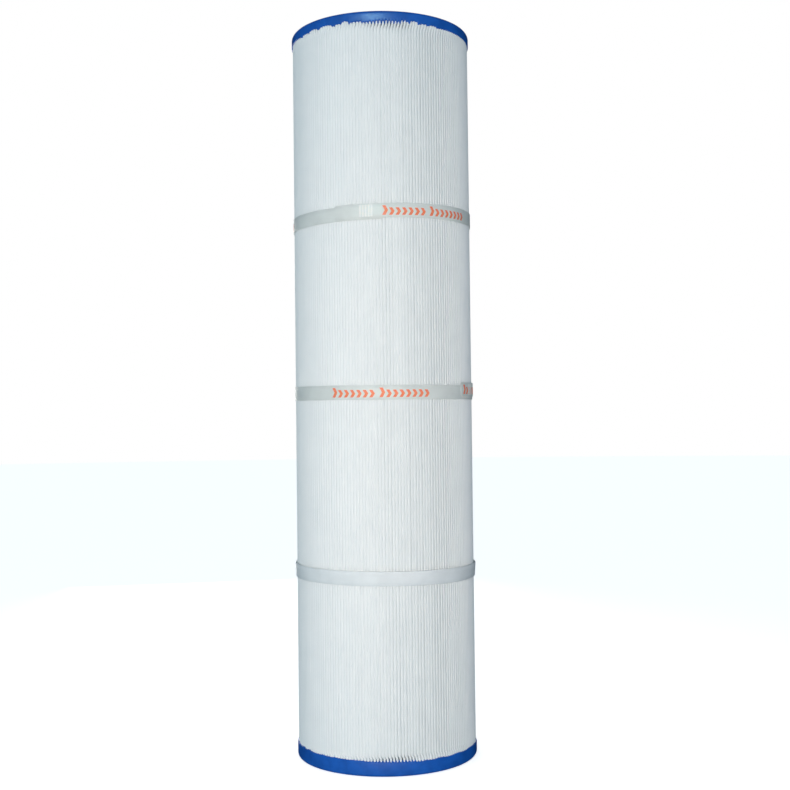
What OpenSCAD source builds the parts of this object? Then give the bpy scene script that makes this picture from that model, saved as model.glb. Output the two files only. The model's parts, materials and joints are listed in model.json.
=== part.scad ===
// Cylindrical pleated filter cartridge with two moulded end caps, three hold-down bands and a
// stacked lattice core. Millimetres, +Z up, standing on its lower end cap, axis on Z.

/* [Overall] */
// Length from the lower rest face to the upper rest face
overall_length = 716; // [400:1:900]
// Outside diameter of both end caps
cap_od = 178; // [140:1:220]
// Diameter of the clear opening moulded through each cap
opening_d = 76.2; // [55:0.1:85]

/* [End caps] */
// Height of the upper cap's side wall
top_cap_h = 11; // [8:0.5:25]
// Height of the lower cap's side wall
bottom_cap_h = 15; // [8:0.5:25]
// Potting compound between the rest face and the ends of the media and core
cap_floor = 4; // [3:0.5:8]
// Wall of compound outside the pleat tips
cap_lip = 1; // [0.6:0.1:3]
// Rounding where the side wall meets the rest face
cap_edge_r = 3.6; // [1:0.1:4]
// Rounding of the side wall's free rim
cap_rim_r = 0.4; // [0.1:0.1:0.5]
// Chamfer at the mouth of the opening
mouth_chamfer = 1.2; // [0.5:0.1:2]
// Width of the ring groove that leaves a sealing lip round the opening
groove_w = 5; // [2:0.5:10]
// Depth of the ring groove
groove_depth = 1.4; // [0.5:0.1:2.5]
// Width of the sealing lip between opening and groove
seal_lip_w = 9; // [5:0.5:14]
// Number of moulding rests that leave a dimple in each face
dimple_count = 12; // [6:1:24]
// Diameter of each dimple
dimple_d = 7; // [4:0.5:10]
// Depth of each dimple
dimple_depth = 1.6; // [0.5:0.1:2.5]

/* [Pleated media] */
// Number of pleats round the cartridge
pleat_count = 180; // [120:2:220]
// Thickness of the spunbonded fabric
media_t = 0.5; // [0.3:0.05:0.6]
// Half width of the folded tip, measured on the fabric's middle
tip_half_w = 0.75; // [0.5:0.05:1]
// Gap between the inner folds and the core
core_gap = 0.2; // [0.1:0.05:1]
// Depth of the adhesive strip that joins the two free ends of the fabric
seam_depth = 8; // [4:0.5:20]

/* [Hold-down bands] */
// Height of each band
band_w = 13.5; // [8:0.5:25]
// Thickness of the band strip
band_t = 0.5; // [0.3:0.05:1]
// Height of the upper band's middle, as a share of the overall length
upper_band_at = 0.7365; // [0.6:0.001:0.85]
// Height of the middle band's middle, as a share of the overall length
middle_band_at = 0.4990; // [0.4:0.001:0.6]
// Height of the lower band's middle, as a share of the overall length
lower_band_at = 0.2560; // [0.15:0.001:0.35]
// Direction where the upper band's strip starts, counted from +X
upper_overlap_deg = 270; // [0:1:360]
// Direction where the middle band's strip starts, counted from +X
middle_overlap_deg = 357; // [0:1:360]
// Direction where the lower band's strip starts, counted from +X
lower_overlap_deg = 80; // [0:1:360]
// Length of the overlap where each strip is closed on itself
overlap_deg = 30; // [12:1:40]
// Height of the adhesive bead under each band
bead_h = 7; // [3:0.5:10]
// Thickness of the adhesive bead under each band
bead_t = 0.2; // [0.1:0.05:0.5]
// Thickness of the weld between the overlapping ends
weld_t = 0.15; // [0.1:0.05:0.4]

/* [Core] */
// Inside diameter of the core
core_id = 80; // [76:0.5:90]
// Wall of the core, inner rib face to outer ring face
core_wall = 3.5; // [2.5:0.1:6]
// Number of stacked moulded sections
core_sections = 7; // [7:1:7]
// Number of upright ribs round each section
rib_count = 18; // [8:1:30]
// Width of each rib as an angle
rib_deg = 5.5; // [3:0.5:10]
// Number of hoops between a section's collars
hoop_count = 8; // [4:1:12]
// Height of each hoop
hoop_h = 3; // [2:0.5:5]
// Height of the solid collar at each end of a section
collar_h = 16; // [12:1:24]
// Length of the spigot that enters the section above
spigot_h = 6; // [4:0.5:10]
// Clearance between spigot and socket, on radius
spigot_gap = 0.05; // [0.02:0.01:0.3]

/* [Hidden] */

full_turn = 360;
round_fn = 96;
cap_r = cap_od / 2;
opening_r = opening_d / 2;
media_r = cap_r - cap_lip;
core_in_r = core_id / 2;
core_out_r = core_in_r + core_wall;
fold_r = core_out_r + core_gap;
media_bottom = cap_floor;
media_top = overall_length - cap_floor;
media_length = media_top - media_bottom;
pitch_deg = full_turn / pleat_count;
half_pitch_deg = pitch_deg / 2;
fold_pitch = 2 * PI * fold_r / pleat_count;
fold_half_w = fold_pitch / 4;
half_t = media_t / 2;
groove_r = opening_r + seal_lip_w;
dimple_ring_r = (groove_r + groove_w + cap_r - cap_edge_r) / 2;
bead_r = media_r + bead_t;
band_r = bead_r + band_t;
tail_r = band_r + weld_t;
ramp_deg = 8;
ramp_steps = 8;
tongue_deg = 1;
ramp_skin = 0.03;
weld_inset_deg = 1.5;
weld_inset = 1;
section_h = media_length / core_sections;
rib_in_r = core_in_r + core_wall * 0.1;
rib_r = core_in_r + core_wall * 0.6;
hoop_in_r = core_in_r + core_wall * 0.4;
spigot_r = core_in_r + core_wall / 2;
window_span = section_h - 2 * collar_h;
hoop_step = (window_span + hoop_h) / (hoop_count + 1);
through = 1;

cap_blue = [0.07, 0.29, 0.63];
fabric_white = [0.86, 0.88, 0.88];
band_white = [0.80, 0.84, 0.82];
adhesive_clear = [0.90, 0.89, 0.80];
core_white = [0.90, 0.90, 0.88];

// A point at radius r and angle a
function polar(r, a) = [r * cos(a), r * sin(a)];

// The angle that a sideways offset w subtends at radius r
function offset_deg(w, r) = asin(w / r);

// The two corners of the fabric's outer face at the outer fold of pleat i
function tip_outer(i) =
  let (a = i * pitch_deg, d = offset_deg(tip_half_w + half_t, media_r))
  [polar(media_r, a - d), polar(media_r, a + d)];

// The two corners of the fabric's inner face at the outer fold of pleat i
function tip_inner(i) =
  let (a = i * pitch_deg, r = media_r - media_t, d = offset_deg(tip_half_w - half_t, r))
  [polar(r, a - d), polar(r, a + d)];

// The two corners of the fabric's outer face at the inner fold after pleat i
function fold_outer(i) =
  let (a = i * pitch_deg + half_pitch_deg, r = fold_r + media_t, d = offset_deg(fold_half_w - half_t, r))
  [polar(r, a - d), polar(r, a + d)];

// The two corners of the fabric's inner face at the inner fold after pleat i
function fold_inner(i) =
  let (a = i * pitch_deg + half_pitch_deg, d = offset_deg(fold_half_w + half_t, fold_r))
  [polar(fold_r, a - d), polar(fold_r, a + d)];

// Outer face of the whole strip, from its first free end round to its last
outer_face = [
  tip_outer(0)[1],
  fold_outer(0)[0],
  fold_outer(0)[1],
  for (i = [1 : pleat_count - 1]) each concat(tip_outer(i), fold_outer(i)),
  tip_outer(0)[0]
];

// Inner face of the whole strip, from its last free end back to its first
free_end = offset_deg(tip_half_w - half_t, media_r);
inner_face = [
  polar(media_r, -free_end),
  for (k = [1 : pleat_count - 1])
    let (i = pleat_count - k)
    each [fold_inner(i)[1], fold_inner(i)[0], tip_inner(i)[1], tip_inner(i)[0]],
  fold_inner(0)[1],
  fold_inner(0)[0],
  polar(media_r, free_end)
];

// Plan of the folded fabric
module media_plan() {
  polygon(concat(outer_face, inner_face));
}

// Fabric between two heights
module media_block(z0, z1) {
  translate([0, 0, z0])
    linear_extrude(height = z1 - z0)
      media_plan();
}

// Plan of the adhesive strip between the fabric's two free ends
module seam_plan() {
  inner_end = fold_inner(0)[0];
  outer_end = polar(media_r, free_end);
  share = seam_depth / (media_r - fold_r);
  inward = outer_end + (inner_end - outer_end) * share;
  polygon([outer_end, inward, [inward[0], -inward[1]], [outer_end[0], -outer_end[1]]]);
}

// Seam strip between two heights
module seam_block(z0, z1) {
  translate([0, 0, z0])
    linear_extrude(height = z1 - z0)
      seam_plan();
}

// Fabric and seam strip between two heights as one block, for the caps to be cast round
module cast_in_block(z0, z1) {
  translate([0, 0, z0])
    linear_extrude(height = z1 - z0)
      union() {
        media_plan();
        seam_plan();
      }
}

// Half section of a cap, rest face on the X axis
module cap_section(h) {
  difference() {
    union() {
      translate([opening_r, 0])
        square([cap_r - cap_edge_r - opening_r, h]);
      translate([opening_r, cap_edge_r])
        square([cap_r - opening_r, h - cap_edge_r - cap_rim_r]);
      translate([opening_r, cap_edge_r])
        square([cap_r - cap_rim_r - opening_r, h - cap_edge_r]);
      translate([cap_r - cap_edge_r, cap_edge_r])
        circle(r = cap_edge_r, $fn = round_fn);
      translate([cap_r - cap_rim_r, h - cap_rim_r])
        circle(r = cap_rim_r, $fn = round_fn);
    }
    translate([groove_r, -through])
      square([groove_w, through + groove_depth]);
    polygon([
      [opening_r - through, -through],
      [opening_r + mouth_chamfer + through, -through],
      [opening_r - through, mouth_chamfer + through]
    ]);
  }
}

// Cap body before the media and core are set in it, rest face down
module cap_blank(h) {
  difference() {
    rotate_extrude($fn = round_fn)
      cap_section(h);
    for (i = [0 : dimple_count - 1])
      rotate([0, 0, (i + 0.5) * full_turn / dimple_count])
        translate([dimple_ring_r, 0, -through])
          cylinder(h = through + dimple_depth, d = dimple_d, $fn = round_fn);
  }
}

// The ring that a core end fills inside a cap
module core_end(z0, z1) {
  translate([0, 0, z0])
    difference() {
      cylinder(h = z1 - z0, r = core_out_r, $fn = round_fn);
      translate([0, 0, -through])
        cylinder(h = z1 - z0 + 2 * through, r = core_in_r, $fn = round_fn);
    }
}

// Lower cap, cast round the ends of media and core
module end_cap_bottom() {
  color(cap_blue)
    difference() {
      cap_blank(bottom_cap_h);
      cast_in_block(media_bottom, bottom_cap_h + through);
      core_end(media_bottom, bottom_cap_h + through);
    }
}

// Upper cap, cast round the ends of media and core
module end_cap_top() {
  color(cap_blue)
    difference() {
      translate([0, 0, overall_length])
        mirror([0, 0, 1])
          cap_blank(top_cap_h);
      cast_in_block(overall_length - top_cap_h - through, media_top);
      core_end(overall_length - top_cap_h - through, media_top);
    }
}

// The folded fabric strip
module media_pleats() {
  color(fabric_white)
    media_block(media_bottom, media_top);
}

// Hot-melt strip that closes the fabric into a ring
module media_seam() {
  color(adhesive_clear)
    seam_block(media_bottom, media_top);
}

// Part of a ring wall between two angles
module wall_sector(r0, r1, h, start_deg, sweep_deg) {
  rotate([0, 0, start_deg])
    rotate_extrude(angle = sweep_deg, $fn = round_fn)
      translate([r0, 0])
        square([r1 - r0, h]);
}

// Plan of the ramp that lifts the strip on to its own start, with a tongue into the wall at each end
module ramp_plan() {
  lift = tail_r - bead_r;
  in_r = bead_r + ramp_skin;
  out_r = band_r - ramp_skin;
  polygon(concat(
    [polar(in_r, -tongue_deg)],
    [for (k = [0 : ramp_steps]) polar(in_r + lift * k / ramp_steps, k * ramp_deg / ramp_steps)],
    [polar(in_r + lift, ramp_deg + tongue_deg), polar(out_r + lift, ramp_deg + tongue_deg)],
    [
      for (k = [0 : ramp_steps])
        let (j = ramp_steps - k)
        polar(out_r + lift * j / ramp_steps, j * ramp_deg / ramp_steps)
    ],
    [polar(out_r, -tongue_deg)]
  ));
}

// One strip wound clockwise round the pleats and closed on itself
module band(at, overlap_at) {
  color(band_white)
    translate([0, 0, at * overall_length - band_w / 2])
      rotate([0, 0, overlap_at])
        mirror([0, 1, 0])
          union() {
            wall_sector(bead_r, band_r, band_w, 0, full_turn - ramp_deg);
            rotate([0, 0, -ramp_deg])
              translate([0, 0, ramp_skin])
                linear_extrude(height = band_w - 2 * ramp_skin)
                  ramp_plan();
            wall_sector(tail_r, tail_r + band_t, band_w, 0, overlap_deg);
          }
}

// Adhesive bead between a band and the pleat tips
module band_adhesive(at) {
  color(adhesive_clear)
    translate([0, 0, at * overall_length - bead_h / 2])
      difference() {
        cylinder(h = bead_h, r = bead_r, $fn = round_fn);
        translate([0, 0, -through])
          cylinder(h = bead_h + 2 * through, r = media_r, $fn = round_fn);
      }
}

// Weld between the strip's overlapping ends
module band_weld(at, overlap_at) {
  color(adhesive_clear)
    translate([0, 0, at * overall_length - band_w / 2 + weld_inset])
      wall_sector(band_r, tail_r, band_w - 2 * weld_inset,
                  overlap_at - overlap_deg + weld_inset_deg, overlap_deg - 2 * weld_inset_deg);
}

// Lower end of a core section: a socket over the spigot below, or a plain end in the lower cap
module core_foot(is_first) {
  difference() {
    cylinder(h = collar_h, r = core_out_r, $fn = round_fn);
    translate([0, 0, -through])
      cylinder(h = collar_h + 2 * through, r = core_in_r, $fn = round_fn);
    if (!is_first)
      translate([0, 0, -through])
        cylinder(h = spigot_h + through, r = spigot_r + spigot_gap, $fn = round_fn);
  }
}

// Upper end of a core section: a collar, with a spigot unless it is set in the upper cap
module core_head(is_last) {
  translate([0, 0, section_h - collar_h])
    difference() {
      union() {
        cylinder(h = collar_h, r = core_out_r, $fn = round_fn);
        if (!is_last)
          cylinder(h = collar_h + spigot_h, r = spigot_r, $fn = round_fn);
      }
      translate([0, 0, -through])
        cylinder(h = collar_h + spigot_h + 2 * through, r = core_in_r, $fn = round_fn);
    }
}

// Upright ribs and hoops between the collars
module core_lattice() {
  for (i = [0 : rib_count - 1])
    translate([0, 0, collar_h / 2])
      wall_sector(rib_in_r, rib_r, section_h - collar_h, i * full_turn / rib_count, rib_deg);
  for (i = [1 : hoop_count])
    translate([0, 0, collar_h - hoop_h + i * hoop_step])
      difference() {
        cylinder(h = hoop_h, r = core_out_r, $fn = round_fn);
        translate([0, 0, -through])
          cylinder(h = hoop_h + 2 * through, r = hoop_in_r, $fn = round_fn);
      }
}

// One moulded core section; index counts up from the lower cap
module core_section(index) {
  color(core_white)
    translate([0, 0, media_bottom + (index - 1) * section_h]) {
      core_foot(index == 1);
      core_lattice();
      core_head(index == core_sections);
    }
}

end_cap_bottom();
end_cap_top();
media_pleats();
media_seam();
band(upper_band_at, upper_overlap_deg);  // band_upper
band(middle_band_at, middle_overlap_deg);  // band_middle
band(lower_band_at, lower_overlap_deg);  // band_lower
band_adhesive(upper_band_at);  // band_adhesive_upper
band_adhesive(middle_band_at);  // band_adhesive_middle
band_adhesive(lower_band_at);  // band_adhesive_lower
band_weld(upper_band_at, upper_overlap_deg);  // band_weld_upper
band_weld(middle_band_at, middle_overlap_deg);  // band_weld_middle
band_weld(lower_band_at, lower_overlap_deg);  // band_weld_lower
core_section(1);  // core_section_1
core_section(2);  // core_section_2
core_section(3);  // core_section_3
core_section(4);  // core_section_4
core_section(5);  // core_section_5
core_section(6);  // core_section_6
core_section(7);  // core_section_7
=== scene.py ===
"""Looks of a pleated filter cartridge: folded fabric, cast end caps, hold-down bands and a lattice core.

Every piece is built in metres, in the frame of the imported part: +Z up, the lower rest face on Z = 0 and
the front of the cartridge towards -Y.
"""

import json
import logging
import math
from dataclasses import dataclass, field
from enum import Enum
from typing import Iterable, Optional, Sequence, Union

import bpy
import numpy as np
from mathutils import Matrix, Vector

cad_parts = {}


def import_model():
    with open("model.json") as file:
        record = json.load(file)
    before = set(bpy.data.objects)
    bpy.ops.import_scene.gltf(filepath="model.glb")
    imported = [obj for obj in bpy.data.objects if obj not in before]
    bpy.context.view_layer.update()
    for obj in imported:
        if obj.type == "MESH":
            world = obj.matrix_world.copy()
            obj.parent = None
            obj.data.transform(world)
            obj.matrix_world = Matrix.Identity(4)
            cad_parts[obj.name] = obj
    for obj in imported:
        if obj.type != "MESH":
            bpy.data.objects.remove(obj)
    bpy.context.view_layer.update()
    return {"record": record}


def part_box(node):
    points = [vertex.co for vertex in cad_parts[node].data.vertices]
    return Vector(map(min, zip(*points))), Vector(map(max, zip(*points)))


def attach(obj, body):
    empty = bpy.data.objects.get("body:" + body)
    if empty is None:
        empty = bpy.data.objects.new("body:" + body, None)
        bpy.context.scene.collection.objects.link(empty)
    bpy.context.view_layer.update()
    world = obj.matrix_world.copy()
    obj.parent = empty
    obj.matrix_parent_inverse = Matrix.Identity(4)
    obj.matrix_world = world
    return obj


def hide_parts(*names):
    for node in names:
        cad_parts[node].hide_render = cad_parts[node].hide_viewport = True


LOG = logging.getLogger("cartridge")
MM = 0.001
BODY = "root"
CORE_WALL = 3.5 * MM
GOLDEN_ANGLE = 2.399

Colour = tuple[float, float, float]
Point = tuple[float, float, float]
Value = Union[float, int, str, Sequence[float], bpy.types.NodeSocket]


# ---------------------------------------------------------------------------------------------------
# Node trees
# ---------------------------------------------------------------------------------------------------


class Graph:
    """A node tree while it is being wired, for a finish or for a Geometry Nodes modifier."""

    def __init__(self, tree: bpy.types.NodeTree) -> None:
        """Keeps the tree and empties it."""
        self.tree = tree
        self.tree.nodes.clear()

    def add(self, kind: str, settings: Optional[dict] = None, **inputs: Value) -> bpy.types.Node:
        """Adds a node.

        Args:
            kind: The node's type name.
            settings: Node properties, such as an operation.
            inputs: Values or sockets by input name, with spaces written as underscores.

        Returns:
            The new node.
        """
        node = self.tree.nodes.new(kind)
        for key, value in (settings or {}).items():
            setattr(node, key, value)
        for name, value in inputs.items():
            wanted = name.replace("_", " ")
            matches = [s for s in node.inputs if s.name == wanted and s.enabled] or [
                s for s in node.inputs if s.name == wanted
            ]
            self.feed(matches[0], value)
        return node

    def feed(self, socket: bpy.types.NodeSocket, value: Value) -> None:
        """Links a socket into another, or sets its value.

        Args:
            socket: The input to fill.
            value: A socket to link from, or a plain value.
        """
        if isinstance(value, bpy.types.NodeSocket):
            self.tree.links.new(value, socket)
        else:
            socket.default_value = value

    def math(self, operation: str, first: Value, second: Value = 0.0,
             third: Value = 0.0) -> bpy.types.NodeSocket:
        """A Math node.

        Args:
            operation: The operation's name.
            first: First operand.
            second: Second operand.
            third: Third operand, where the operation has one.

        Returns:
            The result socket.
        """
        node = self.tree.nodes.new("ShaderNodeMath")
        node.operation = operation
        for socket, value in zip(node.inputs, (first, second, third)):
            self.feed(socket, value)
        return node.outputs[0]

    def plus(self, first: Value, second: Value) -> bpy.types.NodeSocket:
        """The sum of two values."""
        return self.math("ADD", first, second)

    def minus(self, first: Value, second: Value) -> bpy.types.NodeSocket:
        """The first value less the second."""
        return self.math("SUBTRACT", first, second)

    def times(self, first: Value, second: Value) -> bpy.types.NodeSocket:
        """The product of two values."""
        return self.math("MULTIPLY", first, second)

    def over(self, first: Value, second: Value) -> bpy.types.NodeSocket:
        """The first value divided by the second."""
        return self.math("DIVIDE", first, second)

    def split(self, vector: bpy.types.NodeSocket) -> tuple[bpy.types.NodeSocket, ...]:
        """The X, Y and Z sockets of a vector."""
        return tuple(self.add("ShaderNodeSeparateXYZ", Vector=vector).outputs)

    def join(self, x: Value, y: Value, z: Value) -> bpy.types.NodeSocket:
        """A vector socket from three values."""
        return self.add("ShaderNodeCombineXYZ", X=x, Y=y, Z=z).outputs[0]

    def ramp(self, value: Value, low: float, high: float, start: float, end: float,
             smooth: bool = True) -> bpy.types.NodeSocket:
        """Maps a value from one range to another, held at the ends.

        Args:
            value: The value to map.
            low: Input at the start of the range.
            high: Input at the end of the range.
            start: Output for low.
            end: Output for high.
            smooth: Whether the change is eased.

        Returns:
            The mapped socket.
        """
        node = self.tree.nodes.new("ShaderNodeMapRange")
        node.interpolation_type = "SMOOTHSTEP" if smooth else "LINEAR"
        for socket, item in zip(node.inputs, (value, low, high, start, end)):
            self.feed(socket, item)
        return node.outputs[0]

    def noise(self, vector: Value, scale: float, detail: float = 2.0,
              roughness: float = 0.5) -> bpy.types.NodeSocket:
        """A 3D noise value between 0 and 1.

        Args:
            vector: Where it is read.
            scale: Cells per metre.
            detail: Octaves.
            roughness: Weight of the finer octaves.

        Returns:
            The noise factor.
        """
        node = self.add("ShaderNodeTexNoise", {"noise_dimensions": "3D"}, Vector=vector, Scale=scale,
                        Detail=detail, Roughness=roughness)
        return node.outputs[0]

    def blend(self, factor: Value, first: Value, second: Value, mode: str = "MIX") -> bpy.types.NodeSocket:
        """Mixes two colours.

        Args:
            factor: Share of the second colour.
            first: A colour or a socket.
            second: A colour or a socket.
            mode: Blend mode.

        Returns:
            The mixed colour.
        """
        node = self.tree.nodes.new("ShaderNodeMix")
        node.data_type = "RGBA"
        node.blend_type = mode
        node.clamp_factor = True
        self.feed(node.inputs[0], factor)
        for socket, value in ((node.inputs[6], first), (node.inputs[7], second)):
            if not isinstance(value, bpy.types.NodeSocket) and len(value) == 3:
                value = (*value, 1.0)
            self.feed(socket, value)
        return node.outputs[2]


class GeometryTree(Graph):
    """A Geometry Nodes tree with named inputs that turns an object's mesh into a finished one."""

    def __init__(self, name: str) -> None:
        """Starts an empty tree with a geometry input and output.

        Args:
            name: The tree's name.
        """
        super().__init__(bpy.data.node_groups.new(name, "GeometryNodeTree"))
        self.identifiers: dict[str, str] = {}
        self.values: dict[str, object] = {}
        self.tree.interface.new_socket("Geometry", in_out="INPUT", socket_type="NodeSocketGeometry")
        self.tree.interface.new_socket("Geometry", in_out="OUTPUT", socket_type="NodeSocketGeometry")
        self.entry = self.tree.nodes.new("NodeGroupInput")
        self.exit = self.tree.nodes.new("NodeGroupOutput")

    def number(self, name: str, default: float = 0.0) -> bpy.types.NodeSocket:
        """Adds a named number input and returns its socket inside the tree."""
        return self._input(name, "NodeSocketFloat", default)

    def whole(self, name: str, default: int = 0) -> bpy.types.NodeSocket:
        """Adds a named whole-number input and returns its socket inside the tree."""
        return self._input(name, "NodeSocketInt", default)

    def thing(self, name: str) -> bpy.types.NodeSocket:
        """Adds a named object input and returns its socket inside the tree."""
        return self._input(name, "NodeSocketObject", None)

    def _input(self, name: str, kind: str, default: object) -> bpy.types.NodeSocket:
        """Adds an input to the tree.

        Args:
            name: Its name.
            kind: Its socket type.
            default: Its default, or None.

        Returns:
            The socket inside the tree.
        """
        item = self.tree.interface.new_socket(name, in_out="INPUT", socket_type=kind)
        if default is not None:
            item.default_value = default
            self.values[name] = default
        self.identifiers[name] = item.identifier
        return next(s for s in self.entry.outputs if s.identifier == item.identifier)

    def close(self, geometry: bpy.types.NodeSocket, material: bpy.types.Material) -> None:
        """Ends the tree in Realize Instances and Set Material.

        Args:
            geometry: The geometry to finish.
            material: The material of every face.
        """
        real = self.add("GeometryNodeRealizeInstances", Geometry=geometry)
        dressed = self.add("GeometryNodeSetMaterial", Geometry=real.outputs[0], Material=material)
        self.tree.links.new(dressed.outputs[0], self.exit.inputs[0])

    def run(self, obj: bpy.types.Object, **values: object) -> None:
        """Runs the tree on an object and keeps the result as its plain mesh.

        Args:
            obj: The object whose mesh goes in and is replaced.
            values: Inputs that differ from the tree's own, with spaces written as underscores.
        """
        modifier = obj.modifiers.new(self.tree.name, "NODES")
        modifier.node_group = self.tree
        given = {name.replace("_", " "): value for name, value in values.items()}
        for name, value in {**self.values, **given}.items():
            modifier[self.identifiers[name]] = value
        bpy.context.view_layer.update()
        graph = bpy.context.evaluated_depsgraph_get()
        mesh = bpy.data.meshes.new_from_object(obj.evaluated_get(graph))
        mesh.name = obj.name
        old = obj.data
        obj.modifiers.remove(modifier)
        obj.data = mesh
        bpy.data.meshes.remove(old)


# ---------------------------------------------------------------------------------------------------
# Finishes
# ---------------------------------------------------------------------------------------------------


@dataclass(frozen=True)
class Finish:
    """A finish: the name of its material and how it answers light."""

    name: str = "finish"
    colour: Colour = (0.8, 0.8, 0.8)
    roughness: float = 0.5

    def material(self) -> bpy.types.Material:
        """The material, made on first use.

        Returns:
            The finish's material.
        """
        found = bpy.data.materials.get(self.name)
        if found:
            return found
        made = bpy.data.materials.new(self.name)
        made.use_nodes = True
        made.diffuse_color = (*self.colour, 1.0)
        graph = Graph(made.node_tree)
        shader = graph.add("ShaderNodeBsdfPrincipled", Roughness=self.roughness)
        out = graph.add("ShaderNodeOutputMaterial")
        graph.tree.links.new(shader.outputs[0], out.inputs["Surface"])
        self.wire(graph, shader)
        return made

    def wire(self, graph: Graph, shader: bpy.types.Node) -> None:
        """Wires the pattern into the shader; each finish has its own."""
        raise NotImplementedError

    def shade(self, share: float) -> Colour:
        """The finish's colour made darker or lighter, never past white."""
        return tuple(min(1.0, c * share) for c in self.colour)

    @staticmethod
    def place(graph: Graph) -> bpy.types.NodeSocket:
        """The Object coordinate of the point being shaded."""
        return graph.add("ShaderNodeTexCoord").outputs["Object"]

    @staticmethod
    def bump(graph: Graph, shader: bpy.types.Node, height: Value, distance: float, strength: float) -> None:
        """Adds relief to a shader.

        Args:
            graph: The material's graph.
            shader: The shader that takes the normal.
            height: Relief, 0 to 1.
            distance: What a relief of 1 stands for, in metres.
            strength: Share of the relief that is used.
        """
        node = graph.add("ShaderNodeBump", Height=height, Distance=distance, Strength=strength)
        graph.feed(shader.inputs["Normal"], node.outputs[0])


@dataclass(frozen=True)
class FabricFinish(Finish):
    """Spunbonded polyester: matt, slightly mottled, with a fine pattern of bond points."""

    name: str = "fabric_spunbond"
    colour: Colour = (0.865, 0.90, 0.895)
    roughness: float = 0.8
    bond_pitch: float = 1.25 * MM
    fibre_scale: float = 2600.0
    cloud_scale: float = 55.0
    attribute: str = "pleat"

    def wire(self, graph: Graph, shader: bpy.types.Node) -> None:
        """Fibres and bond points on the fabric's own length and height, and a tone for each pleat.

        Args:
            graph: The material's graph.
            shader: The shader to feed.
        """
        place = self.place(graph)
        uv = graph.add("ShaderNodeUVMap", {"uv_map": "fabric"}).outputs[0]
        u, v, _ = graph.split(uv)
        pleat = graph.add("ShaderNodeAttribute", {"attribute_name": self.attribute}).outputs["Fac"]
        tone = graph.add("ShaderNodeTexWhiteNoise", {"noise_dimensions": "1D"}, W=pleat).outputs[0]
        cloud = graph.noise(place, self.cloud_scale, 3.0)
        along = graph.join(u, graph.times(v, 0.28), pleat)
        fibres = graph.noise(along, self.fibre_scale, 2.0, 0.7)
        mixed = graph.blend(graph.ramp(cloud, 0.3, 0.7, 0.0, 1.0), self.shade(0.985), self.shade(1.01))
        toned = graph.blend(graph.times(tone, 0.35), mixed, self.shade(0.975))
        threads = graph.blend(graph.ramp(fibres, 0.35, 0.75, 0.0, 0.12), toned, (0.93, 0.95, 0.96))
        graph.feed(shader.inputs["Base Color"], threads)
        turned = graph.join(graph.plus(u, v), graph.minus(u, v), 0.0)
        cells = graph.add("ShaderNodeTexVoronoi", {"feature": "F1", "voronoi_dimensions": "2D"},
                          Vector=turned, Scale=1.0 / self.bond_pitch, Randomness=0.08)
        pits = graph.ramp(cells.outputs["Distance"], 0.12, 0.30, 0.0, 1.0)
        relief = graph.plus(graph.times(pits, 0.7), graph.times(fibres, 0.5))
        self.bump(graph, shader, relief, 0.06 * MM, 0.55)
        shader.inputs["Sheen Weight"].default_value = 0.12
        shader.inputs["Sheen Roughness"].default_value = 0.6
        shader.inputs["Specular IOR Level"].default_value = 0.25


@dataclass(frozen=True)
class CastFinish(Finish):
    """Cast blue polyurethane: satin, faintly clouded, with pinholes and a few light scuffs."""

    name: str = "cap_polyurethane"
    colour: Colour = (0.004, 0.098, 0.47)
    roughness: float = 0.38
    cloud_scale: float = 70.0
    pinhole_scale: float = 420.0

    def wire(self, graph: Graph, shader: bpy.types.Node) -> None:
        """Clouding, pinholes and scuffs of the casting.

        Args:
            graph: The material's graph.
            shader: The shader to feed.
        """
        place = self.place(graph)
        cloud = graph.noise(place, self.cloud_scale, 4.0, 0.55)
        fine = graph.noise(place, 900.0, 3.0, 0.6)
        lighter = (self.colour[0] * 1.5 + 0.001, self.colour[1] * 1.18, self.colour[2] * 1.12)
        base = graph.blend(graph.ramp(cloud, 0.32, 0.68, 0.0, 1.0), self.shade(0.88), lighter)
        scuff = graph.ramp(graph.noise(place, 260.0, 5.0, 0.7), 0.66, 0.80, 0.0, 0.10)
        graph.feed(shader.inputs["Base Color"], graph.blend(scuff, base, (0.16, 0.26, 0.55)))
        holes = graph.add("ShaderNodeTexVoronoi", {"feature": "F1"}, Vector=place, Scale=self.pinhole_scale)
        chance = graph.add("ShaderNodeTexWhiteNoise", {"noise_dimensions": "3D"},
                           Vector=holes.outputs["Position"]).outputs[0]
        open_hole = graph.math("GREATER_THAN", chance, 0.93)
        pit = graph.times(open_hole, graph.ramp(holes.outputs["Distance"], 0.08, 0.22, 1.0, 0.0))
        relief = graph.minus(graph.times(cloud, 0.8), pit)
        relief = graph.plus(relief, graph.times(fine, 0.12))
        self.bump(graph, shader, relief, 0.35 * MM, 0.4)
        worn = graph.ramp(fine, 0.3, 0.7, self.roughness - 0.05, self.roughness + 0.09)
        graph.feed(shader.inputs["Roughness"], worn)
        shader.inputs["Specular IOR Level"].default_value = 0.36


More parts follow.
